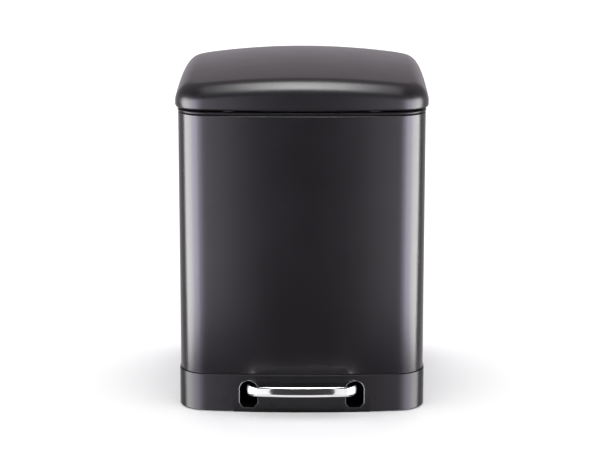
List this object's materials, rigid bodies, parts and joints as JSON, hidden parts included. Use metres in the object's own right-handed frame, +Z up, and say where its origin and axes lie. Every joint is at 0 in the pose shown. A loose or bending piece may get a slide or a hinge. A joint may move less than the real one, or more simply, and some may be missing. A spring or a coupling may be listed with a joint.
{
  "type": "pedal trash can",
  "caption": "Bow-fronted step-on waste bin: crowned hinged lid, steel body on a moulded base, front pedal strip, push-rod linkage and lift-out bucket.",
  "frame": {"origin": "middle of the flat underside of the base floor, on the plane that the bin stands on", "axes": "+Z up, the pedal and the bowed front face -Y, the lid hinge is at the +Y side, +X to the right seen from the front"},
  "size_m": [0.2966, 0.3505, 0.4051],
  "materials": {
    "black_enamel": "glossy black enamel on sheet steel",
    "black_plastic": "satin black moulded plastic",
    "grey_plastic": "fine-grained dark grey moulded plastic",
    "polished_steel": "mirror polished steel strip",
    "zinc_steel": "zinc plated steel",
    "rubber": "matt black rubber"
  },
  "bodies": {
    "root": {"body_shell": "black_enamel", "top_collar": "black_plastic", "base_plinth": "black_plastic", "base_floor": "black_plastic", "bucket_deck": "grey_plastic", "rod_channel": "grey_plastic", "hinge_bracket": "zinc_steel", "hinge_cover": "black_plastic", "hinge_pin": "zinc_steel", "hinge_pin_clip": "zinc_steel", "hinge_screw_left": "zinc_steel", "hinge_screw_right": "zinc_steel", "pedal_axle": "zinc_steel", "axle_block_left": "black_plastic", "axle_block_right": "black_plastic", "axle_block_screw_left": "zinc_steel", "axle_block_screw_right": "zinc_steel", "base_screw_1": "zinc_steel", "base_screw_2": "zinc_steel", "base_screw_3": "zinc_steel", "base_screw_4": "zinc_steel", "foot_1": "rubber", "foot_2": "rubber", "foot_3": "rubber", "foot_4": "rubber", "lid_buffer_left": "rubber", "lid_buffer_right": "rubber", "wall_bumper_left": "rubber", "wall_bumper_right": "rubber"},
    "lid": {"lid_shell": "black_enamel", "lid_liner": "grey_plastic", "lid_bracket": "zinc_steel", "lid_link_pin": "zinc_steel", "lid_screw_left": "zinc_steel", "lid_screw_right": "zinc_steel"},
    "pedal": {"pedal_bar": "polished_steel", "pedal_lever": "black_plastic", "lever_link_pin": "zinc_steel", "pedal_screw_left": "zinc_steel", "pedal_screw_right": "zinc_steel"},
    "push_rod": {"push_rod": "zinc_steel"},
    "bucket": {"bucket": "grey_plastic"}
  },
  "joints": [
    {"name": "lid_hinge", "type": "hinge", "parent": "root", "child": "lid", "pos_m": [0, 0.16, 0.357], "axis": [-1, 0, 0], "range_deg": [0, 80]},
    {"name": "pedal_pivot", "type": "hinge", "parent": "root", "child": "pedal", "pos_m": [0, -0.05635, 0.0265], "axis": [1, 0, 0], "range_deg": [0, 8.79]},
    {"name": "push_rod_slide", "type": "slide", "parent": "root", "child": "push_rod", "axis": [0, 0, 1], "range_m": [0, 0.03001]},
    {"name": "bucket_lift", "type": "slide", "parent": "root", "child": "bucket", "axis": [0, 0, 1], "range_m": [0, 0.025]}
  ],
  "couplings": [
    {"joint": "pedal_pivot", "follows": "lid_hinge", "ratio": 0.10987},
    {"joint": "push_rod_slide", "follows": "lid_hinge", "m_per_rad": 0.021486}
  ]
}
